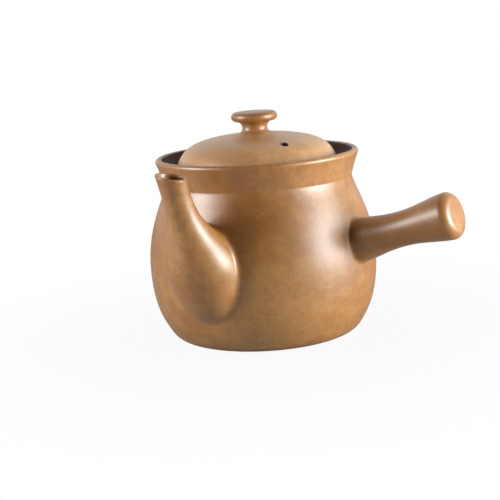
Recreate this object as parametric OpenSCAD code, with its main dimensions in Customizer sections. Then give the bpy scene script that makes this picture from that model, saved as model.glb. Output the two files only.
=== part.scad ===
// Stoneware pot for simmering herbs: a thrown pot with a flared collar, a spout,
// a hollow side handle and a loose domed lid with a knob.
// The origin is the middle of the base. The handle points along +X and the spout
// points along -Y. All sizes are in millimetres and all angles in degrees.

/* [Pot] */
// Radius of the flat base the pot stands on
base_r = 47; // [44:1:52]
// Outer radius where the rounded heel ends
heel_r = 75.5; // [73:0.5:77]
// Height where the rounded heel ends
heel_z = 15.2; // [13:0.1:17]
// Largest outer radius of the belly
belly_r = 83.6; // [81:0.2:87]
// Height of the widest part of the belly
belly_z = 55.9; // [52:0.1:60]
// Smallest outer radius, just under the collar
neck_r = 68.6; // [67:0.1:71]
// Height of the neck and of the ledge inside it
neck_z = 115.6; // [112:0.1:118]
// Outer radius of the rim
rim_r = 74.2; // [72.5:0.1:77]
// Height of the top of the rim
rim_z = 135.2; // [133:0.2:139]
// Roundness of the rim's lip
lip_r = 2.45; // [2:0.05:2.7]
// Thickness of the pot's wall
wall = 5; // [4:0.25:6]
// Thickness of the pot's floor
floor_t = 6.5; // [5.5:0.25:9]

/* [Lid seat] */
// Width of the ledge that carries the lid
ledge_w = 5; // [4:0.5:7]
// Thickness of the ledge
ledge_t = 6; // [5:0.5:8]
// Gap between the lid's flange and the neck
lid_clearance = 1.9; // [1:0.1:2.4]
// Gap between the lid's flange and the ledge
seat_gap = 0.3; // [0.2:0.05:0.5]

/* [Lid] */
// Thickness of the flange round the lid
flange_t = 3.7; // [3:0.1:5]
// Width of the step from the flange to the dome
flange_step = 1.6; // [1.2:0.1:2.4]
// Radius of the lid's rounded shoulder
shoulder_r = 54; // [52:0.5:56]
// Height of the shoulder above the ledge
shoulder_h = 21.4; // [20:0.2:23]
// Height of the dome above the ledge
dome_h = 34.2; // [32:0.2:37]
// Thickness of the lid
lid_t = 4.5; // [3.5:0.25:5]
// Diameter of the steam hole
vent_d = 6.2; // [4:0.2:7]
// Distance of the steam hole from the middle of the lid
vent_reach = 43.5; // [30:0.5:46]
// Turn of the steam hole from the handle towards the spout
vent_turn = 32; // [0:1:180]

/* [Knob] */
// Height of the knob above the dome
knob_h = 15.6; // [14.8:0.2:19]
// Radius of the knob's disc
knob_r = 16.8; // [15:0.1:19]
// Thickness of the disc at its edge
knob_disc_t = 6.6; // [5.6:0.1:7.4]
// Rise of the disc's top in the middle
knob_crown = 0.5; // [0.3:0.1:1.5]
// Radius of the knob's waist
knob_waist_r = 9.1; // [8:0.1:10]
// Height of the waist above the dome
knob_waist_h = 4; // [3.4:0.2:4.6]
// Radius of the knob's foot on the dome
knob_foot_r = 12.5; // [11.5:0.25:14]

/* [Spout] */
// Turn of the spout from the handle
spout_turn = 90; // [80:1:100]
// Distance from the pot's axis to the spout's lowest point, inside the belly
spout_foot_reach = 59.9; // [58:0.1:62]
// Distance from the pot's axis to the middle of the mouth
spout_mouth_reach = 111.8; // [108:0.2:116]
// Height of the mouth
spout_mouth_z = 133; // [130:0.5:135]
// Radius of the spout at its widest
spout_bulge_r = 26.2; // [24:0.2:27]
// Height where the spout is widest
spout_bulge_z = 62.5; // [59:0.5:65]
// Radius of the spout at its narrowest
spout_throat_r = 9.8; // [9:0.1:10.8]
// Height where the spout is narrowest
spout_throat_z = 118; // [115:0.5:120]
// Radius of the mouth
spout_mouth_r = 10.7; // [10:0.1:12]
// Rise of the mouth towards its pouring side
mouth_rise = 1.5; // [0:0.5:8]
// Fall of the mouth towards the handle's side
mouth_tilt = 12; // [4:0.5:15]
// Thickness of the spout's wall
spout_wall = 3; // [2.6:0.1:3.4]

/* [Strainer] */
// Diameter of each hole between the pot and the spout
strainer_d = 5; // [4:0.25:6]
// Spacing of the strainer's holes
strainer_pitch = 9; // [8:0.5:10]
// Rows of holes in the strainer
strainer_rows = 4; // [2:1:4]
// Height of the middle of the strainer
strainer_z = 59; // [56:1:62]

/* [Handle] */
// Distance from the pot's axis to the end of the handle
handle_reach = 155.3; // [146:0.1:168]
// Height of the handle's axis where it meets the belly
handle_z = 73.5; // [69:0.5:77]
// Upward tilt of the handle
handle_tilt = 15.8; // [12:0.2:20]
// Radius of the handle at its root
handle_root_r = 15.7; // [14.5:0.1:17]
// Radius of the handle at its waist
handle_waist_r = 12.4; // [11.6:0.1:13.4]
// Distance from the belly to the waist
handle_waist_s = 31.6; // [28:0.2:36]
// Radius of the handle at its closed end
handle_end_r = 16.6; // [15:0.1:18]
// Roundness of the end's edge
handle_edge_r = 6.5; // [5:0.1:7.5]
// Thickness of the handle's wall
handle_wall = 4.5; // [3.5:0.1:5.5]
// Diameter of the firing hole under the handle
firing_hole_d = 3; // [2:0.1:4]
// Distance from the belly to the firing hole
firing_hole_s = 16; // [12:0.5:24]

/* [Hidden] */
clay = [0.66, 0.44, 0.27];
clay_light = [0.74, 0.52, 0.34];
clay_dark = [0.50, 0.31, 0.18];
cut = 1;
curve_steps = 8;
arc_steps = 6;
spout_sides = 32;
$fn = 96;

// ---- Curves: every outline is a list of [radius, height] points ----

function heading(turn) = [cos(turn), sin(turn)];

function bezier(p, t) =
    p[0] * pow(1 - t, 3) + p[1] * 3 * t * pow(1 - t, 2)
    + p[2] * 3 * t * t * (1 - t) + p[3] * pow(t, 3);

// A curve that leaves a in one heading and arrives at b in another. Each pull says
// how far that end holds its heading. The point b is left for what follows.
function curve(a, a_turn, a_pull, b, b_turn, b_pull, steps = curve_steps) =
    let (p = [a, a + a_pull * heading(a_turn), b - b_pull * heading(b_turn), b])
    [for (i = [0:steps - 1]) bezier(p, i / steps)];

function round_edge(centre, r, from, to) =
    [for (i = [0:arc_steps]) centre + r * heading(from + (to - from) * i / arc_steps)];

function reversed(path) = [for (i = [len(path) - 1:-1:0]) path[i]];

// The same path moved to its left by a wall's thickness
function inset(path, by) = [
    for (i = [0:len(path) - 1])
        let (along = path[min(i + 1, len(path) - 1)] - path[max(i - 1, 0)])
        path[i] + by / norm(along) * [-along[1], along[0]]
];

// ---- Pot ----

neck_lean = 99;
collar_lean = 75;
rim_flare = 64;
lip_centre = [rim_r - lip_r, rim_z - lip_r];
lip_start = lip_centre + lip_r * heading(rim_flare - 90);
belly_side = concat(
    curve([base_r, 0], 0, 21.2, [heel_r, heel_z], 61, 13),
    curve([heel_r, heel_z], 61, 10.8, [belly_r, belly_z], 90, 17.1),
    curve([belly_r, belly_z], 90, 30.3, [neck_r, neck_z], neck_lean, 10.5, 2 * curve_steps),
    [[neck_r, neck_z]]
);
collar_side = curve([neck_r, neck_z], collar_lean, 5.4, lip_start, rim_flare, 2.2);

seat_r = neck_r - wall;
ledge_r = seat_r - ledge_w;
ledge_low = neck_z - ledge_t;
hollow_side = [
    for (p = inset(belly_side, wall))
        if (p[1] > floor_t + 1 && p[1] < ledge_low - ledge_w) p
];

// The collar's inner side, the ledge, and the hollow down to the floor
pot_inside = concat(
    curve([rim_r - 2 * lip_r, rim_z - lip_r], 250, 6, [seat_r, neck_z + 3], 270, 6),
    [[seat_r, neck_z + 3], [seat_r, neck_z], [ledge_r, neck_z], [ledge_r, ledge_low]],
    reversed(hollow_side),
    [[base_r, floor_t], [0, floor_t]]
);

// The pot as if it were solid: the spout and the handle are cut to this shape
module pot_envelope() {
    rotate_extrude() polygon(concat([[0, 0]], belly_side, [[0, neck_z]]));
}

module strainer_hole(turn, height) {
    rotate([0, 0, turn])
        translate([belly_r - 3 * wall, 0, height])
            rotate([0, 90, 0])
                cylinder(h = 4 * wall, d = strainer_d);
}

// Staggered rows of holes through the wall behind the spout
module strainer_holes() {
    row_rise = strainer_pitch * sin(60);
    pitch_turn = strainer_pitch / belly_r * 180 / PI;
    for (row = [0:strainer_rows - 1]) {
        last = 2 + row % 2;
        for (i = [0:last])
            strainer_hole(
                (i - last / 2) * pitch_turn - spout_turn,
                strainer_z + (row - (strainer_rows - 1) / 2) * row_rise
            );
    }
}

module pot_body() {
    color(clay)
        difference() {
            rotate_extrude()
                polygon(concat(
                    [[0, 0]],
                    belly_side,
                    collar_side,
                    round_edge(lip_centre, lip_r, rim_flare - 90, 180),
                    pot_inside
                ));
            strainer_holes();
        }
}

// ---- Spout ----

spout_foot = [3.8, 10];
radius_curve = concat(
    curve(spout_foot, 62, 27.7, [spout_bulge_r, spout_bulge_z], 90, 28.3, 9),
    curve([spout_bulge_r, spout_bulge_z], 90, 20.5, [spout_throat_r, spout_throat_z], 90, 29.3, 10),
    curve([spout_throat_r, spout_throat_z], 90, 5, [spout_mouth_r, spout_mouth_z], 82, 5, 4),
    [[spout_mouth_r, spout_mouth_z]]
);
line_curve = concat(
    curve(
        [spout_foot_reach, spout_foot[1]], 73.9, 92.7,
        [spout_mouth_reach, spout_mouth_z], 71.3, 63.8, 60
    ),
    [[spout_mouth_reach, spout_mouth_z]]
);
spout_line = [for (p = line_curve) [p[1], p[0]]];

// Share of the way from the throat to the mouth
function mouth_share(z) = max(0, (z - spout_throat_z) / (spout_mouth_z - spout_throat_z));

// The sections lean outward half as much as the spout's line, and the mouth's cut turns back
function section_lean(z) =
    let (line_lean = atan((lookup(z + cut, spout_line) - lookup(z - cut, spout_line)) / (2 * cut)) / 2)
    line_lean * (1 - mouth_share(z)) - mouth_rise * mouth_share(z);

// One round section: r is its radius, z its height, lift moves it along its own axis
function section(r, z, lift = 0) =
    let (lean = section_lean(z), tilt = mouth_tilt * mouth_share(z), reach = lookup(z, spout_line))
    [for (k = [0:spout_sides - 1])
        let (
            a = 360 * k / spout_sides,
            out = r * cos(a),
            side = r * sin(a),
            x = reach + out * cos(lean) + lift * sin(lean)
        )
        [x, side, z - out * sin(lean) + lift * cos(lean) - side * tan(tilt)]
    ];

module sweep(sections) {
    sides = len(sections[0]);
    rings = len(sections);
    polyhedron(
        points = [for (s = sections) each s],
        faces = concat(
            [[for (k = [0:sides - 1]) k]],
            [for (i = [0:rings - 2], k = [0:sides - 1])
                let (a = i * sides, b = a + sides, n = (k + 1) % sides)
                each [[a + k, b + k, b + n], [a + k, b + n, a + n]]],
            [[for (k = [sides - 1:-1:0]) (rings - 1) * sides + k]]
        )
    );
}

// The lip is a half circle across the wall: turn goes from 0, outside, to 180, inside
spout_edge_r = spout_wall / 2;

function lip_section(turn) =
    section(spout_mouth_r - spout_edge_r * (1 - cos(turn)), spout_mouth_z, spout_edge_r * sin(turn));

module spout_outside() {
    sweep(concat(
        [for (p = radius_curve) if (p[1] < spout_mouth_z) section(p[0], p[1])],
        [for (turn = [0:30:90]) lip_section(turn)]
    ));
}

module spout_channel() {
    sweep(concat(
        [for (p = radius_curve)
            if (p[0] > 2 * spout_wall && p[1] < spout_mouth_z)
                section(p[0] - spout_wall, p[1])],
        [for (turn = [180:-30:90]) lip_section(turn)],
        [section(spout_mouth_r - spout_edge_r, spout_mouth_z, spout_edge_r + cut)]
    ));
}

module spout() {
    color(clay_light)
        difference() {
            rotate([0, 0, -spout_turn]) spout_outside();
            rotate([0, 0, -spout_turn]) spout_channel();
            pot_envelope();
        }
}

// ---- Handle: its outline is [radius, distance along the handle] ----

handle_l = (handle_reach - belly_r) / cos(handle_tilt);
handle_end = [handle_end_r, handle_l - handle_edge_r];
handle_side = concat(
    curve([handle_root_r, 0], 95, 10, [handle_waist_r, handle_waist_s], 90, 15),
    curve([handle_waist_r, handle_waist_s], 90, 14, handle_end, 86, 13),
    round_edge(handle_end - [handle_edge_r, 0], handle_edge_r, 0, 82)
);
handle_root = -belly_r / 4;
handle_inside = [
    for (p = inset(handle_side, handle_wall))
        if (p[1] < handle_l - handle_wall) p
];

module side_handle() {
    color(clay)
        difference() {
            translate([belly_r, 0, handle_z])
                rotate([0, 90 - handle_tilt, 0])
                    difference() {
                        rotate_extrude()
                            polygon(concat(
                                [[0, handle_root], [handle_root_r, handle_root]],
                                handle_side,
                                [[0, handle_l]]
                            ));
                        rotate_extrude()
                            polygon(concat(
                                [[0, handle_root - cut]],
                                [[handle_root_r - handle_wall, handle_root - cut]],
                                handle_inside,
                                [[0, handle_l - handle_wall]]
                            ));
                        translate([0, 0, firing_hole_s])
                            rotate([0, 90, 0])
                                cylinder(h = 2 * handle_root_r, d = firing_hole_d);
                    }
            pot_envelope();
        }
}

// ---- Lid ----

lid_z = neck_z + seat_gap;
flange_r = seat_r - lid_clearance;
flange_top = lid_z + flange_t;
dome_z = neck_z + dome_h;
cove = 1.2;
lid_side = concat(
    curve([flange_r - flange_step, flange_top + cove], 97, 8, [shoulder_r, neck_z + shoulder_h], 127, 6),
    curve([shoulder_r, neck_z + shoulder_h], 127, 12.8, [knob_foot_r, dome_z], 170, 12, 2 * curve_steps),
    [[knob_foot_r, dome_z]]
);

module lid() {
    color(clay_light)
        difference() {
            rotate_extrude()
                polygon(concat(
                    [[flange_r - flange_step - lid_t, lid_z], [flange_r, lid_z], [flange_r, flange_top]],
                    lid_side,
                    [[0, dome_z], [0, dome_z - lid_t]],
                    reversed(inset(lid_side, lid_t))
                ));
            rotate([0, 0, -vent_turn])
                translate([vent_reach, 0, lid_z])
                    cylinder(h = dome_h + cut, d = vent_d);
        }
}

disc_edge_r = knob_disc_t / 2;
disc_low = dome_z + knob_h - knob_crown - knob_disc_t;
knob_side = concat(
    curve([knob_foot_r, dome_z], 165, 2.5, [knob_waist_r, dome_z + knob_waist_h], 88, 1.8),
    curve([knob_waist_r, dome_z + knob_waist_h], 88, 2, [knob_r - disc_edge_r, disc_low], 8, 3),
    round_edge([knob_r - disc_edge_r, disc_low + disc_edge_r], disc_edge_r, -90, 82)
);

module lid_knob() {
    color(clay_dark)
        rotate_extrude()
            polygon(concat([[0, dome_z]], knob_side, [[0, dome_z + knob_h]]));
}

pot_body();
spout();
side_handle();
lid();
lid_knob();
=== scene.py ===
"""The looks of a side-handled stoneware herb pot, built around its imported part.

Everything is in metres with +Z up. The handle points along +X and the spout along -Y.
The potter's sizes below are in millimetres and follow those of the part.
"""

import math

import bpy
import numpy as np
from mathutils import Matrix, Vector


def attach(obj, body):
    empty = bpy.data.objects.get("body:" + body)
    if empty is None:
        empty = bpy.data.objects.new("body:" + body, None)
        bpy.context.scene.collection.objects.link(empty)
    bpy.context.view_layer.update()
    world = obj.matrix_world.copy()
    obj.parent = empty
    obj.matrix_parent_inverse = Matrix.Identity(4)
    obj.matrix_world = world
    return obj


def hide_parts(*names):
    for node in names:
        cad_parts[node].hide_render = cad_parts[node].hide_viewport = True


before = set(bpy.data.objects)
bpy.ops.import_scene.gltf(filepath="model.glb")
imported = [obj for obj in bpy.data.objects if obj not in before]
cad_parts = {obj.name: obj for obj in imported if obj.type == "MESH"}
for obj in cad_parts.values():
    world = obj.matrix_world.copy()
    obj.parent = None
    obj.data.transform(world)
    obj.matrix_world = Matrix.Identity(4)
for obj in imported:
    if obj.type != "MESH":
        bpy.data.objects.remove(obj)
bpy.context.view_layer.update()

MM = 0.001
AROUND, KNOB_AROUND, ROD_SIDES = 240, 120, 28
SHARP_ANGLE = 42  # degrees, over which an edge made by a cut is shaded sharp

# ---------------------------------------------------------------- the potter's sizes, in mm
BASE_R, HEEL_R, HEEL_Z, BELLY_R, BELLY_Z = 47, 75.5, 15.2, 83.6, 55.9
NECK_R, NECK_Z, RIM_R, RIM_Z, LIP_R = 68.6, 115.6, 74.2, 135.2, 2.45
NECK_LEAN, COLLAR_LEAN, RIM_FLARE = 99, 75, 64
WALL, FLOOR_T, LEDGE_W, LEDGE_T = 5, 6.5, 5, 6
LID_CLEARANCE, SEAT_GAP, FLANGE_T, FLANGE_STEP = 1.9, 0.3, 3.7, 1.6
SHOULDER_R, SHOULDER_H, DOME_H, LID_T = 54, 21.4, 34.2, 4.5
VENT_D, VENT_REACH, VENT_TURN = 6.2, 43.5, 32
KNOB_H, KNOB_R, DISC_T, CROWN, WAIST_R, WAIST_H, FOOT_R = 15.6, 16.8, 6.6, 0.5, 9.1, 4, 12.5
SPOUT_TURN, SPOUT_FOOT, SPOUT_MOUTH = 90, (59.9, 10), (111.8, 133)
BULGE, THROAT, MOUTH_R, SPOUT_WALL, LIP_WALL = (26.2, 62.5), (9.8, 118), 10.7, 3, 2
MOUTH_RISE, MOUTH_TILT, MOUTH_LEAN = 1.5, 12, 71.3
STRAINER_D, STRAINER_PITCH, STRAINER_ROWS, STRAINER_Z = 5, 9, 4, 59
HANDLE_REACH, HANDLE_Z, HANDLE_TILT = 155.3, 73.5, 15.8
ROOT_R, GRIP_R, GRIP_S, END_R, EDGE_R, HANDLE_WALL = 15.7, 12.4, 31.6, 16.6, 6.5, 4.5
FIRING_HOLE_D, FIRING_HOLE_S = 3, 16

# How far the fillets reach from where the spout, its channel and the handle leave the belly,
# and how far the lid's top lies below the knob's foot.
SPOUT_FILLET, CHANNEL_FILLET, HANDLE_FILLET, KNOB_GAP = 3.2, 0.6, 2.6, 0.02


# ---------------------------------------------------------------- finishes
def node(tree, kind, **values):
    """A shader node with its inputs set by name or number."""
    made = tree.nodes.new(kind)
    for key, value in values.items():
        if hasattr(made, key):
            setattr(made, key, value)
        else:
            made.inputs[key.replace("_", " ")].default_value = value
    return made


def fired_clay():
    """A node group for fired clay: mottled colour, roughness and height from the place.
    Broad flashes from the kiln, streaks left by turning, soft mottling, and iron specks."""
    t = bpy.data.node_groups.new("Fired clay", "ShaderNodeTree")
    for name, way, kind in (
        ("Light", "INPUT", "Color"),
        ("Clay", "INPUT", "Color"),
        ("Dark", "INPUT", "Color"),
        ("Specks", "INPUT", "Float"),
        ("Gloss", "INPUT", "Float"),
        ("Color", "OUTPUT", "Color"),
        ("Roughness", "OUTPUT", "Float"),
        ("Height", "OUTPUT", "Float"),
    ):
        t.interface.new_socket(name, in_out=way, socket_type="NodeSocket" + kind)
    come, go = t.nodes.new("NodeGroupInput"), t.nodes.new("NodeGroupOutput")
    place = t.nodes.new("ShaderNodeTexCoord").outputs["Object"]
    link = t.links.new

    def noise(scale, detail, rough=0.5, squash=None):
        """Noise at that scale per metre, drawn out round the pot where squash is given."""
        made = node(t, "ShaderNodeTexNoise", Scale=scale, Detail=detail, Roughness=rough)
        if squash is None:
            link(place, made.inputs["Vector"])
        else:
            lay = node(t, "ShaderNodeMapping", Scale=(1, 1, squash))
            link(place, lay.inputs["Vector"])
            link(lay.outputs[0], made.inputs["Vector"])
        return made.outputs["Fac"]

    def spread(value, low, high, out_low=0.0, out_high=1.0):
        """Stretches low..high to out_low..out_high, held at the ends."""
        made = node(
            t, "ShaderNodeMapRange", From_Min=low, From_Max=high, To_Min=out_low, To_Max=out_high
        )
        link(value, made.inputs["Value"])
        return made.outputs["Result"]

    def reckon(kind, a, b):
        """Two values added or multiplied. The second may be a plain number."""
        made = node(t, "ShaderNodeMath", operation=kind)
        link(a, made.inputs[0])
        if isinstance(b, float):
            made.inputs[1].default_value = b
        else:
            link(b, made.inputs[1])
        return made.outputs[0]

    def weighed(first, *others):
        """The sum of values, each given with its weight."""
        total = reckon("MULTIPLY", *first)
        for value, weight in others:
            total = reckon("ADD", total, reckon("MULTIPLY", value, weight))
        return total

    def blend(factor, a, b):
        """Colour a where the factor is 0, and b where it is 1."""
        made = node(t, "ShaderNodeMix", data_type="RGBA")
        link(factor, made.inputs["Factor"])
        link(a, made.inputs["A"])
        link(b, made.inputs["B"])
        return made.outputs["Result"]

    flash = spread(noise(9, 3), 0.35, 0.68)
    mottle = spread(noise(120, 6, 0.7), 0.28, 0.74)
    streak = spread(noise(10, 3, 0.5, 9), 0.3, 0.72)
    grain = noise(1500, 3, 0.7)
    speck = spread(noise(430, 2, 0.5), 0.58, 0.72)
    tone = weighed((flash, 0.4), (mottle, 0.45), (streak, 0.15))
    warm = blend(spread(tone, 0.25, 0.62), come.outputs["Dark"], come.outputs["Clay"])
    pale = blend(spread(tone, 0.45, 0.9), warm, come.outputs["Light"])
    dusty = blend(spread(grain, 0.35, 0.75, 0, 0.3), pale, come.outputs["Light"])
    dots = blend(reckon("MULTIPLY", speck, come.outputs["Specks"]), dusty, come.outputs["Dark"])
    rough = reckon("ADD", come.outputs["Gloss"], spread(mottle, 0, 1, -0.03, 0.06))
    link(dots, go.inputs["Color"])
    link(rough, go.inputs["Roughness"])
    link(weighed((streak, 0.5), (mottle, 0.3), (grain, 0.35)), go.inputs["Height"])
    return t


CLAY_GROUP = fired_clay()
RELIEF, RELIEF_DEPTH = 0.12, 0.0006
COAT_ROUGHNESS, CLAY_IOR = 0.4, 1.6


def stoneware(name, light, clay, dark, gloss, specks, coat):
    """A stoneware finish: the fired clay's colour under a thin satin skin."""
    made = bpy.data.materials.new(name)
    made.use_nodes = True
    t = made.node_tree
    shader = t.nodes["Principled BSDF"]
    body = t.nodes.new("ShaderNodeGroup")
    body.node_tree = CLAY_GROUP
    for key, value in (("Light", light), ("Clay", clay), ("Dark", dark)):
        body.inputs[key].default_value = (*value, 1)
    body.inputs["Specks"].default_value = specks
    body.inputs["Gloss"].default_value = gloss
    relief = node(t, "ShaderNodeBump", Strength=RELIEF, Distance=RELIEF_DEPTH)
    t.links.new(body.outputs["Height"], relief.inputs["Height"])
    t.links.new(relief.outputs[0], shader.inputs["Normal"])
    t.links.new(body.outputs["Color"], shader.inputs["Base Color"])
    t.links.new(body.outputs["Roughness"], shader.inputs["Roughness"])
    shader.inputs["Coat Weight"].default_value = coat
    shader.inputs["Coat Roughness"].default_value = COAT_ROUGHNESS
    shader.inputs["IOR"].default_value = CLAY_IOR
    return made


def rgb(r, g, b):
    """A colour as a screen shows it, from 0 to 255, made linear for the shader."""
    c = np.array([r, g, b]) / 255
    return tuple(np.where(c <= 0.04045, c / 12.92, ((c + 0.055) / 1.055) ** 2.4))


outside_clay = stoneware(
    "Polished clay", rgb(184, 134, 72), rgb(166, 113, 51), rgb(146, 92, 34),
    gloss=0.46, specks=0.6, coat=1.0,
)
# Bare clay without the satin skin, for the inside of the pot and the walls of its holes. Its
# colours are darkened as painted shade, for the shadow that falls in there.
inner_clay_painted_shade = stoneware(
    "Bare inner clay with painted shade", rgb(114, 76, 50), rgb(94, 58, 36), rgb(68, 40, 24),
    gloss=0.62, specks=0.5, coat=0.05,
)
# A lighter copy of the pot's clay: painted light, for the brighter light on the dome that faces
# up.
lid_clay = stoneware(
    "Lid clay with painted light", rgb(216, 171, 122), rgb(204, 157, 105), rgb(184, 132, 80),
    gloss=0.48, specks=0.4, coat=0.9,
)


# ---------------------------------------------------------------- outlines
def heading(turn):
    """The unit vector at that angle in degrees."""
    return np.array([math.cos(math.radians(turn)), math.sin(math.radians(turn))])


def unit(v):
    """Each vector scaled to length one."""
    return v / np.maximum(np.linalg.norm(v, axis=-1, keepdims=True), 1e-12)


def curve(a, a_turn, a_pull, b, b_turn, b_pull, steps):
    """Points of a cubic that leaves a in one heading and arrives at b in another: the
    four control points weighted by (1-t)^3, 3t(1-t)^2, 3t^2(1-t) and t^3, without b."""
    a, b = np.array(a, float), np.array(b, float)
    t = (np.arange(steps) / steps)[:, None]
    p = a + a_pull * heading(a_turn)
    q = b - b_pull * heading(b_turn)
    return (1 - t) ** 3 * a + 3 * t * (1 - t) ** 2 * p + 3 * t * t * (1 - t) * q + t**3 * b


def round_edge(centre, r, start, end, steps):
    """Points of a circle's arc: the centre plus r times (cos a, sin a), a from start to end."""
    a = np.radians(np.linspace(start, end, steps + 1))[:, None]
    return np.array(centre, float) + r * np.hstack([np.cos(a), np.sin(a)])


def straight(a, b, steps):
    """Evenly spaced points from a towards b, without b."""
    return np.array(a, float) + (np.arange(steps) / steps)[:, None] * (np.array(b, float) - a)


def inset(path, by):
    """The path moved to its left by that much, square to the line between its neighbours."""
    along = np.vstack([path[1:], path[-1:]]) - np.vstack([path[:1], path[:-1]])
    along /= np.linalg.norm(along, axis=1)[:, None]
    return path + by * np.stack([-along[:, 1], along[:, 0]], 1)


LIP_C = np.array([RIM_R - LIP_R, RIM_Z - LIP_R])
BELLY_SIDE = np.vstack([
    curve((BASE_R, 0), 0, 21.2, (HEEL_R, HEEL_Z), 61, 13, 20),
    curve((HEEL_R, HEEL_Z), 61, 10.8, (BELLY_R, BELLY_Z), 90, 17.1, 26),
    curve((BELLY_R, BELLY_Z), 90, 30.3, (NECK_R, NECK_Z), NECK_LEAN, 10.5, 60),
    [(NECK_R, NECK_Z)],
])


def belly_radius(z):
    """Outer radius of the belly at a height, read off its outline."""
    return np.interp(z, BELLY_SIDE[:, 1], BELLY_SIDE[:, 0])


# ---------------------------------------------------------------- meshes from grids
def skin(name, rows, first_pole=None, last_pole=None, ring=False, slots=None, clays=()):
    """A closed mesh over a grid of points: rows by columns, closed around its columns.
    A pole closes the first or the last row with a fan, and ring joins the last row to the
    first. slots gives each strip between rows its number in the list of clays."""
    count, around = rows.shape[:2]
    points = rows.reshape(-1, 3)
    i = np.arange(count if ring else count - 1)[:, None]
    k = np.arange(around)[None, :]
    a, b = i * around, (i + 1) % count * around
    n = (k + 1) % around
    quads = np.stack([a + k, a + n, b + n, b + k], -1).reshape(-1, 4)
    strips = np.zeros(len(i), int) if slots is None else slots[: len(i)]
    marks = np.repeat(strips, around)
    fans, fan_marks = [], []
    k, n = k[0], n[0]
    for pole, base, flip in ((first_pole, 0, True), (last_pole, (count - 1) * around, False)):
        if pole is None:
            continue
        tip = np.full(around, len(points))
        points = np.vstack([points, [pole]])
        fans.append(np.stack([tip, base + n, base + k] if flip else [tip, base + k, base + n], -1))
        fan_marks.append(np.full(around, marks[0] if flip else marks[-1]))
    tris = np.vstack(fans) if fans else np.zeros((0, 3), int)
    corner = points[quads[:, 0]]
    normals = np.cross(points[quads[:, 1]] - corner, points[quads[:, 2]] - corner)
    inside_out = np.einsum("ij,ij->", normals, corner - points.mean(0)) < 0
    if inside_out:
        quads, tris = quads[:, ::-1], tris[:, ::-1]
    mesh = bpy.data.meshes.new(name)
    mesh.from_pydata(points * MM, [], quads.tolist() + tris.tolist())
    for clay in clays:
        mesh.materials.append(clay)
    marks = np.concatenate([marks, *fan_marks]).astype(np.int32)
    mesh.polygons.foreach_set("material_index", marks)
    mesh.polygons.foreach_set("use_smooth", np.ones(len(mesh.polygons), bool))
    mesh.update()
    piece = bpy.data.objects.new(name, mesh)
    bpy.context.scene.collection.objects.link(piece)
    return piece


def turned(outline, around=AROUND):
    """The surface of an outline turned about the Z axis: (r cos u, r sin u, z)."""
    u = np.linspace(0, 2 * math.pi, around, endpoint=False)
    r, z = outline[:, :1], outline[:, 1:]
    return np.stack([r * np.cos(u), r * np.sin(u), z + 0 * u], -1)


def rods(name, feet, ways, radii):
    """A mesh of separate rods. Each is a circle carried along a straight way through
    its stations (s, r): foot + way * s + r (cos u e + sin u f)."""
    u = np.linspace(0, 2 * math.pi, ROD_SIDES, endpoint=False)
    made = []
    for foot, way, stations in zip(feet, ways, radii):
        way = np.array(way, float) / np.linalg.norm(way)
        e = np.cross(way, [0.0, 0.0, 1.0] if abs(way[2]) < 0.9 else [1.0, 0.0, 0.0])
        e /= np.linalg.norm(e)
        f = np.cross(way, e)
        s, r = np.array(stations, float).T
        circle = np.cos(u)[:, None] * e + np.sin(u)[:, None] * f
        rows = np.array(foot) + s[:, None, None] * way + r[:, None, None] * circle
        made.append(skin(name, rows, rows[0].mean(0), rows[-1].mean(0)))
    if len(made) > 1:
        with bpy.context.temp_override(active_object=made[0], selected_editable_objects=made):
            bpy.ops.object.join()
    return made[0]


def pierce(piece, cutter):
    """Cuts the cutter out of the piece, applies it, and keeps smooth shading off the cut's
    edges. The walls of the holes get the darker inner clay: bare clay, with painted shade."""
    cutter.data.materials.clear()
    cutter.data.materials.append(inner_clay_painted_shade)
    cut = piece.modifiers.new("holes", "BOOLEAN")
    cut.operation, cut.solver, cut.object = "DIFFERENCE", "EXACT", cutter
    cut.material_mode = "TRANSFER"
    bpy.context.view_layer.update()
    result = piece.evaluated_get(bpy.context.evaluated_depsgraph_get())
    mesh = bpy.data.meshes.new_from_object(result)
    old = piece.data
    piece.modifiers.clear()
    piece.data = mesh
    bpy.data.meshes.remove(old)
    bpy.data.objects.remove(cutter)
    mesh.polygons.foreach_set("use_smooth", np.ones(len(mesh.polygons), bool))
    mesh.set_sharp_from_angle(angle=math.radians(SHARP_ANGLE))


# A surface is searched for the belly at this many stations, and its direction is taken over
# PROBE mm. A column that runs along the belly counts as leaving it by at least LEAST_SHARE.
# The fillet starts FOOT_SINK mm inside the belly, so that no gap shows.
STATIONS, PROBE, LEAST_SHARE, FOOT_SINK = 900, 0.2, 0.35, 0.03


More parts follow.
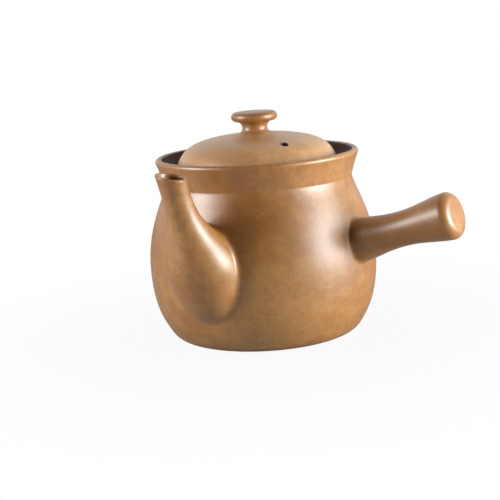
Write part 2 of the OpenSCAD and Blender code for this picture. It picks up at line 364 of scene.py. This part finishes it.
def rooted(surface, start, end, reach, rows, fillet=8):
    """The rows of a surface that grows out of the belly. surface(u, s) gives a point for a
    turn u and a station s. In each column the station where it leaves the belly is found,
    and a fillet leads from the belly to the surface: a quadratic through a point on the
    belly, the crossing and a point on the surface. The other rows follow the surface."""
    u = np.linspace(0, 2 * math.pi, AROUND // 2, endpoint=False)
    s = np.linspace(start, end, STATIONS)[:, None]
    p = surface(u[None, :], s)
    out = np.hypot(p[..., 0], p[..., 1]) - belly_radius(p[..., 2])
    last = np.where(out <= 0, np.arange(len(s))[:, None], 0).max(0)
    k = np.arange(len(u))
    f0, f1 = out[last, k], out[last + 1, k]
    s0 = s[last, 0] + (s[1, 0] - s[0, 0]) * f0 / (f0 - f1)
    cross = surface(u, s0)
    column = surface(u, s0 + PROBE) - cross
    speed = np.linalg.norm(column, axis=1) / PROBE
    column /= np.linalg.norm(column, axis=1)[:, None]
    along = unit(np.roll(cross, -1, 0) - np.roll(cross, 1, 0))
    z = cross[:, 2]
    slope = (belly_radius(z + 0.5) - belly_radius(z - 0.5))[:, None]
    around = unit(np.stack([cross[:, 0], cross[:, 1], 0 * z], 1))
    belly_normal = unit(around - slope * np.array([0, 0, 1.0]))
    away = unit(np.cross(along, belly_normal))
    away *= np.sign(np.einsum("ij,ij->i", away, cross - cross.mean(0)))[:, None]
    square = column - np.einsum("ij,ij->i", column, along)[:, None] * along
    share = np.clip(np.linalg.norm(square, axis=1), LEAST_SHARE, 1)
    s1 = s0 + reach / (share * speed)
    on_surface = surface(u, s1)
    on_belly = cross + reach * away
    flat = np.hypot(on_belly[:, 0], on_belly[:, 1])
    on_belly[:, :2] *= ((belly_radius(on_belly[:, 2]) - FOOT_SINK) / flat)[:, None]
    q = np.linspace(0, 1, fillet, endpoint=False)[:, None, None]
    foot = (1 - q) ** 2 * on_belly + 2 * q * (1 - q) * cross + q * q * on_surface
    t = np.linspace(0, 1, rows)[:, None]
    return np.concatenate([foot, surface(u[None, :], s1[None, :] + (end - s1)[None, :] * t)])


# ---------------------------------------------------------------- pot
SEAT_R = NECK_R - WALL
LEDGE_R = SEAT_R - LEDGE_W
LEDGE_LOW = NECK_Z - LEDGE_T
lip_start = LIP_C + LIP_R * heading(RIM_FLARE - 90)
collar = curve((NECK_R, NECK_Z), COLLAR_LEAN, 5.4, lip_start, RIM_FLARE, 2.2, 22)
hollow = inset(BELLY_SIDE, WALL)
hollow = hollow[(hollow[:, 1] > FLOOR_T + 1) & (hollow[:, 1] < LEDGE_LOW - LEDGE_W)][::-1]
pot_outside = np.vstack([
    straight((2, 0), (BASE_R, 0), 14),
    BELLY_SIDE[:-1],
    collar,
    round_edge(LIP_C, LIP_R, RIM_FLARE - 90, 150, 16),
])
pot_inside = np.vstack([
    curve(LIP_C + (-LIP_R, 0), 250, 6, (SEAT_R, NECK_Z + 3), 270, 6, 12),
    [
        (SEAT_R, NECK_Z + 3), (SEAT_R, NECK_Z + 0.6),
        (SEAT_R - 0.2, NECK_Z + 0.2), (SEAT_R - 0.7, NECK_Z),
        (LEDGE_R + 0.8, NECK_Z), (LEDGE_R + 0.2, NECK_Z - 0.2),
        (LEDGE_R, NECK_Z - 0.8), (LEDGE_R, LEDGE_LOW),
    ],
    hollow,
    curve(hollow[-1], 214, 5, (BASE_R, FLOOR_T), 180, 5, 8),
    straight((BASE_R, FLOOR_T), (2, FLOOR_T), 14),
])
pot_outline = np.vstack([pot_outside, pot_inside])
inner_rows = (np.arange(len(pot_outline)) >= len(pot_outside) - 2).astype(int)
# The inside of the pot takes the inner clay, which is darkened as painted shade.
pot = skin(
    "pot_shell", turned(pot_outline), (0, 0, 0), (0, 0, FLOOR_T),
    slots=inner_rows, clays=(outside_clay, inner_clay_painted_shade),
)

# The strainer's holes stand behind the spout in rows of three and four by turns.
row = np.repeat(np.arange(STRAINER_ROWS), 4)
spot = np.tile(np.arange(4), STRAINER_ROWS)
used = spot <= 2 + row % 2
row, spot = row[used], spot[used]
pitch_turn = math.degrees(STRAINER_PITCH / BELLY_R)
hole_turn = np.radians((spot - (2 + row % 2) / 2) * pitch_turn - SPOUT_TURN)
hole_z = STRAINER_Z + (row - (STRAINER_ROWS - 1) / 2) * STRAINER_PITCH * math.sin(math.pi / 3)
out = np.stack([np.cos(hole_turn), np.sin(hole_turn), 0 * hole_turn], 1)
feet = out * BELLY_R
feet[:, 2] = hole_z
r = STRAINER_D / 2
pierce(pot, rods("holes", feet, out, [[(-WALL - 5, r), (5, r)]] * len(feet)))

# ---------------------------------------------------------------- spout
radius_line = np.vstack([
    curve((3.8, 10), 62, 27.7, BULGE, 90, 28.3, 200),
    curve(BULGE, 90, 20.5, THROAT, 90, 29.3, 200),
    curve(THROAT, 90, 5, (MOUTH_R, SPOUT_MOUTH[1]), 82, 5, 60),
    [(MOUTH_R, SPOUT_MOUTH[1])],
])
reach_line = np.vstack([
    curve(SPOUT_FOOT, 73.9, 92.7, SPOUT_MOUTH, MOUTH_LEAN, 63.8, 400),
    [SPOUT_MOUTH],
])


def spout_reach(z):
    """Distance of the spout's middle line from the pot's axis, straight on past its end."""
    past = np.maximum(z - SPOUT_MOUTH[1], 0) / math.tan(math.radians(MOUTH_LEAN))
    return np.interp(z, reach_line[:, 1], reach_line[:, 0]) + past


def spout_point(u, z, thinner=0.0, r=None, lift=0.0):
    """A point of the spout: a circle about its middle line at height z. The circle leans
    outward with the line and turns to the mouth's cut near the top."""
    if r is None:
        r = np.maximum(np.interp(z, radius_line[:, 1], radius_line[:, 0]) - thinner, 0.4)
    mouth = np.clip((z - THROAT[1]) / (SPOUT_MOUTH[1] - THROAT[1]), 0, 1)
    line_lean = np.arctan((spout_reach(z + 1) - spout_reach(z - 1)) / 2) / 2
    lean = line_lean * (1 - mouth) - math.radians(MOUTH_RISE) * mouth
    tilt = np.tan(np.radians(MOUTH_TILT) * mouth)
    x = spout_reach(z) + r * np.cos(u) * np.cos(lean) + lift * np.sin(lean)
    y = r * np.sin(u)
    up = z - r * np.cos(u) * np.sin(lean) + lift * np.cos(lean) - y * tilt
    c, s = heading(-SPOUT_TURN)
    return np.stack(np.broadcast_arrays(x * c - y * s, x * s + y * c, up), -1)


def spout_inner(u, z):
    """The channel's wall: the spout's surface, thinner by its wall, which thins to the lip."""
    wall = np.interp(z, (THROAT[1], SPOUT_MOUTH[1]), (SPOUT_WALL, LIP_WALL))
    return spout_point(u, z, thinner=wall)


outer = rooted(spout_point, 12, SPOUT_MOUTH[1], SPOUT_FILLET, 110)
channel = rooted(spout_inner, 18, SPOUT_MOUTH[1], CHANNEL_FILLET, 60, 2)
u = np.linspace(0, 2 * math.pi, outer.shape[1], endpoint=False)[None, :]
a = np.linspace(0, math.pi, 13)[1:-1, None]
edge = LIP_WALL / 2
lip_z = np.full_like(a, SPOUT_MOUTH[1])
lip = spout_point(u, lip_z, r=MOUTH_R - edge + edge * np.cos(a), lift=edge * np.sin(a))
spout_rows = np.concatenate([outer, lip, channel[::-1]])
spout = skin("spout_shell", spout_rows, ring=True, clays=(outside_clay,))

# ---------------------------------------------------------------- handle
HANDLE_L = (HANDLE_REACH - BELLY_R) / math.cos(math.radians(HANDLE_TILT))
end_edge = np.array([END_R - EDGE_R, HANDLE_L - EDGE_R])
ROOT_DEPTH = 20.0
handle_line = np.vstack([
    [(ROOT_R, -ROOT_DEPTH)],
    curve((ROOT_R, 0), 95, 10, (GRIP_R, GRIP_S), 90, 15, 60),
    curve((GRIP_R, GRIP_S), 90, 14, (END_R, HANDLE_L - EDGE_R), 86, 13, 60),
    [(END_R, HANDLE_L - EDGE_R)],
])
tilt_cos, tilt_sin = heading(HANDLE_TILT)
way = np.array([tilt_cos, 0, tilt_sin])
across =np.array([-way[2], 0, way[0]])


def handle_at(u, s, r):
    """A point of a circle of radius r about the handle's axis, s along it from the belly."""
    u, s, r = np.broadcast_arrays(u, s, r)
    side = np.array([0, 1.0, 0])
    circle = r[..., None] * (np.cos(u)[..., None] * across + np.sin(u)[..., None] * side)
    return np.array([BELLY_R, 0, HANDLE_Z]) + s[..., None] * way + circle


def handle_point(u, s):
    """A point of the handle's side, with the radius read off its outline."""
    return handle_at(u, s, np.interp(s, handle_line[:, 1], handle_line[:, 0]))


side = rooted(handle_point, -8, HANDLE_L - EDGE_R, HANDLE_FILLET, 80)
u = np.linspace(0, 2 * math.pi, side.shape[1], endpoint=False)[None, :]
end_face = straight(end_edge + (-0.4, EDGE_R), (0.6, HANDLE_L), 8)
end = np.vstack([round_edge(end_edge, EDGE_R, 0, 90, 14)[1:], end_face])
handle_rows = np.concatenate([side, handle_at(u, end[:, 1:], end[:, :1])])
root_in = side[0].mean(0) * (1 - 3 / BELLY_R)
end_middle = handle_at(0.0, HANDLE_L, 0.0)
handle = skin("handle_shell", handle_rows, root_in, end_middle, clays=(outside_clay,))
hole_foot = handle_at(math.pi, FIRING_HOLE_S, ROOT_R)
r = FIRING_HOLE_D / 2
pierce(handle, rods("hole", [hole_foot], [across], [[(-6, r), (HANDLE_WALL + 3, r)]]))

# ---------------------------------------------------------------- lid and knob
LID_Z = NECK_Z + SEAT_GAP
FLANGE_R = SEAT_R - LID_CLEARANCE
FLANGE_TOP = LID_Z + FLANGE_T
DOME_Z = NECK_Z + DOME_H
cove = (FLANGE_R - FLANGE_STEP, FLANGE_TOP + 1.2)
lid_side = np.vstack([
    curve(cove, 97, 8, (SHOULDER_R, NECK_Z + SHOULDER_H), 127, 6, 24),
    curve((SHOULDER_R, NECK_Z + SHOULDER_H), 127, 12.8, (FOOT_R, DOME_Z), 170, 12, 44),
    [(FOOT_R, DOME_Z)],
])
under = inset(lid_side, LID_T)[::-1]
top_z = DOME_Z - KNOB_GAP
lid_outline = np.vstack([
    straight((FOOT_R, top_z), (1, top_z), 4)[::-1],
    lid_side[::-1],
    curve(cove, 262, 0.7, (FLANGE_R - 0.8, FLANGE_TOP), 0, 0.6, 6),
    round_edge((FLANGE_R - 0.8, FLANGE_TOP - 0.8), 0.8, 90, 0, 6),
    round_edge((FLANGE_R - 0.8, LID_Z + 0.8), 0.8, 0, -90, 6),
    straight((FLANGE_R - 2, LID_Z), (under[-1][0], LID_Z), 4),
    [(under[-1][0], LID_Z + 0.3)],
    under[::-1],
    straight((FOOT_R - 1, DOME_Z - LID_T), (1, DOME_Z - LID_T), 5),
])
lid = skin(
    "lid_dome", turned(lid_outline), (0, 0, top_z), (0, 0, DOME_Z - LID_T), clays=(lid_clay,)
)
r = VENT_D / 2
foot = (*(VENT_REACH * heading(-VENT_TURN)), 0)
pierce(lid, rods("vent", [foot], [(0, 0, 1)], [[(NECK_Z + 10, r), (NECK_Z + 40, r)]]))

disc_edge = DISC_T / 2
knob_top = DOME_Z + KNOB_H
disc_low = knob_top - CROWN - DISC_T
knob_outline = np.vstack([
    curve((FOOT_R, DOME_Z), 170, 2.5, (WAIST_R, DOME_Z + WAIST_H), 88, 1.8, 16),
    curve((WAIST_R, DOME_Z + WAIST_H), 88, 2, (KNOB_R - disc_edge, disc_low), 8, 3, 16),
    round_edge((KNOB_R - disc_edge, disc_low + disc_edge), disc_edge, -90, 82, 22),
    curve((KNOB_R - disc_edge, knob_top - CROWN), 172, 4, (0.5, knob_top), 180, 5, 14)[1:],
])
knob = skin(
    "knob_turning", turned(knob_outline, KNOB_AROUND), (0, 0, DOME_Z), (0, 0, knob_top),
    clays=(outside_clay,),
)

for piece, name, body, slot in (
    (pot, "pot_body", "pot", "clay"),
    (spout, "spout", "pot", "clay"),
    (handle, "side_handle", "pot", "clay"),
    (lid, "lid", "lid", "lid_clay"),
    (knob, "lid_knob", "lid", "lid_clay"),
):
    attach(piece, body)
    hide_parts(name)

# ---------------------------------------------------------------- floor
# White paper. For the camera it glows white, a little less near the pot, so that the soft
# shadow shows there. Everything else sees plain grey paper.
FLOOR_HALF = 6
floor_mesh = bpy.data.meshes.new("studio_floor")
corners = [(x * FLOOR_HALF, y * FLOOR_HALF, 0) for x, y in ((-1, -1), (1, -1), (1, 1), (-1, 1))]
floor_mesh.from_pydata(corners, [], [(0, 1, 2, 3)])
floor = bpy.data.objects.new("studio_floor", floor_mesh)
bpy.context.scene.collection.objects.link(floor)
paper = bpy.data.materials.new("White paper")
paper.use_nodes = True
t = paper.node_tree
t.nodes.clear()
sees = t.nodes.new("ShaderNodeLightPath")
matt = node(t, "ShaderNodeBsdfDiffuse", Color=(0.4, 0.39, 0.38, 1))
glow = node(t, "ShaderNodeEmission", Color=(1, 1, 1, 1), Strength=1.0)
part = node(t, "ShaderNodeMath", operation="MULTIPLY")
spot = t.nodes.new("ShaderNodeTexCoord")
far = node(t, "ShaderNodeVectorMath", operation="LENGTH")
fade = node(t, "ShaderNodeMapRange", From_Min=0.1, From_Max=0.3, To_Min=0.94, To_Max=1.0)
t.links.new(spot.outputs["Object"], far.inputs[0])
t.links.new(far.outputs["Value"], fade.inputs["Value"])
t.links.new(fade.outputs["Result"], part.inputs[1])
mix = t.nodes.new("ShaderNodeMixShader")
end = t.nodes.new("ShaderNodeOutputMaterial")
t.links.new(sees.outputs["Is Camera Ray"], part.inputs[0])
t.links.new(part.outputs[0], mix.inputs[0])
t.links.new(matt.outputs[0], mix.inputs[1])
t.links.new(glow.outputs[0], mix.inputs[2])
t.links.new(mix.outputs[0], end.inputs[0])
floor.data.materials.append(paper)

# ---------------------------------------------------------------- world
# White for the camera. For everything else it is dark, and bright only towards BACK_WAY,
# which points straight away from the camera, as a white wall behind the pot would be.
BACK_WAY = (-0.515, 0.857, 0)
world = bpy.data.worlds.new("studio")
bpy.context.scene.world = world
world.use_nodes = True
t = world.node_tree
sky = t.nodes["Background"]
sky.inputs["Color"].default_value = (1, 1, 1, 1)
sees = t.nodes.new("ShaderNodeLightPath")
way = t.nodes.new("ShaderNodeTexCoord")
behind = node(t, "ShaderNodeVectorMath", operation="DOT_PRODUCT")
behind.inputs[1].default_value = BACK_WAY
wall = node(t, "ShaderNodeMapRange", From_Min=-0.1, From_Max=0.9, To_Min=0.01, To_Max=0.8)
level = node(t, "ShaderNodeMath", operation="MAXIMUM")
t.links.new(way.outputs["Generated"], behind.inputs[0])
t.links.new(behind.outputs["Value"], wall.inputs["Value"])
t.links.new(wall.outputs["Result"], level.inputs[0])
t.links.new(sees.outputs["Is Camera Ray"], level.inputs[1])
t.links.new(level.outputs[0], sky.inputs["Strength"])

# ---------------------------------------------------------------- lamps
CAMERA_TURN = 31  # degrees, from the spout's side towards the handle's
LAMP_AIM = Vector((0, 0, 0.08))


def softbox(name, turn, rise, away, wide, tall, power):
    """A rectangular lamp that faces LAMP_AIM from that far away. turn is its angle in
    degrees round the pot from the camera, towards the right of the picture, and rise its
    angle up."""
    a = math.radians(CAMERA_TURN + turn)
    e = math.radians(rise)
    light = bpy.data.lights.new(name, "AREA")
    light.shape, light.size, light.size_y, light.energy = "RECTANGLE", wide, tall, power
    lamp = bpy.data.objects.new(name, light)
    way = Vector((math.cos(e) * math.sin(a), -math.cos(e) * math.cos(a), math.sin(e)))
    place = way * away + LAMP_AIM
    facing = (place - LAMP_AIM).to_track_quat("Z", "Y").to_matrix().to_4x4()
    lamp.matrix_world = Matrix.Translation(place) @ facing
    bpy.context.scene.collection.objects.link(lamp)


softbox("right_box", 71, 9, 0.8, 0.42, 0.36, 10.6)
softbox("left_box", -73, 19, 0.8, 0.34, 0.32, 6.2)

# ---------------------------------------------------------------- camera
# Angles in radians. It looks at AIM_Z up the pot's axis from AWAY, and is then turned by
# YAW, PITCH and ROLL. FOCAL is in pixels of a picture that is WIDTH pixels wide.
RISE, ROLL, YAW, PITCH = 0.175103, -0.0646046, -0.0096, -0.0148734
AWAY, AIM_Z, FOCAL, WIDTH, SENSOR, FAR = 0.97798, 0.0774925, 1321.2, 500, 36, 50


def swung(a, b, angle):
    """Two unit vectors at right angles, turned in their plane from a towards b."""
    c, s = math.cos(angle), math.sin(angle)
    return a * c + b * s, b * c - a * s


turn = math.radians(CAMERA_TURN)
flat = math.cos(RISE)
ahead = np.array([-flat * math.sin(turn), flat * math.cos(turn), -math.sin(RISE)])
right = np.array([math.cos(turn), math.sin(turn), 0])
up = np.cross(right, ahead)
place = -AWAY * ahead + (0, 0, AIM_Z)
ahead, right = swung(ahead, right, YAW)
ahead, up = swung(ahead, up, PITCH)
right, up = swung(right, up, ROLL)
view = bpy.data.cameras.new("view")
view.lens, view.sensor_width, view.clip_end = FOCAL / WIDTH * SENSOR, SENSOR, FAR
camera = bpy.data.objects.new("view", view)
turned_to = Matrix(np.stack([right, up, -ahead], 1).tolist()).to_4x4()
camera.matrix_world = Matrix.Translation(Vector(place)) @ turned_to
bpy.context.scene.collection.objects.link(camera)
bpy.context.scene.camera = camera
bpy.context.scene.view_settings.view_transform = "Standard"

bpy.context.view_layer.update()
